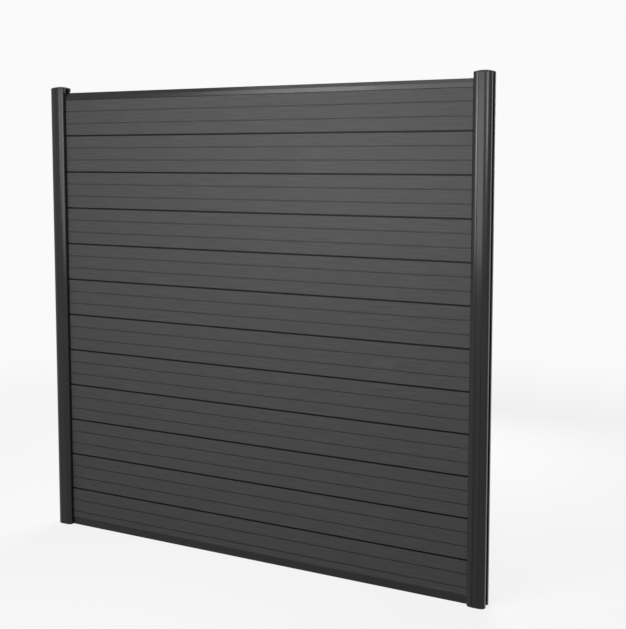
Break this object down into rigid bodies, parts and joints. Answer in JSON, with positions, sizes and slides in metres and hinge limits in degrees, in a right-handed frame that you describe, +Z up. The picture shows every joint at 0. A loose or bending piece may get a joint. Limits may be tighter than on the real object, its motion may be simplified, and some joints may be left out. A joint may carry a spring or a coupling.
{
  "type": "garden privacy screen",
  "caption": "Free-standing garden privacy screen: grooved composite boards stacked between two slotted metal posts, with a bottom channel and a sloping top rail.",
  "frame": {"origin": "on the ground under the middle of the screen", "axes": "+X along the screen to the right as seen from the front, +Y through it to the back (the front faces -Y), +Z up"},
  "size_m": [1.9, 0.066, 1.861],
  "materials": {
    "powder_coated_aluminium": "dark grey powder coat on extruded aluminium, satin with a fine orange peel",
    "wood_plastic_composite": "anthracite wood-plastic composite, extruded and brushed along its length, matt",
    "black_nylon": "moulded black nylon, fine spark texture",
    "zinc_plated_steel": "bent sheet steel, bright zinc plated",
    "stainless_screw_steel": "stainless steel, plain"
  },
  "bodies": {
    "root": {"left_post": "powder_coated_aluminium", "right_post": "powder_coated_aluminium", "left_post_cap": "black_nylon", "right_post_cap": "black_nylon", "bottom_rail": "powder_coated_aluminium", "top_rail": "powder_coated_aluminium", "board_01": "wood_plastic_composite", "board_02": "wood_plastic_composite", "board_03": "wood_plastic_composite", "board_04": "wood_plastic_composite", "board_05": "wood_plastic_composite", "board_06": "wood_plastic_composite", "board_07": "wood_plastic_composite", "board_08": "wood_plastic_composite", "board_09": "wood_plastic_composite", "board_10": "wood_plastic_composite", "board_11": "wood_plastic_composite", "board_12": "wood_plastic_composite", "lower_left_bracket": "zinc_plated_steel", "lower_right_bracket": "zinc_plated_steel", "upper_left_bracket": "zinc_plated_steel", "upper_right_bracket": "zinc_plated_steel", "left_bracket_screws": "stainless_screw_steel", "right_bracket_screws": "stainless_screw_steel", "top_rail_screws": "stainless_screw_steel"}
  },
  "joints": []
}
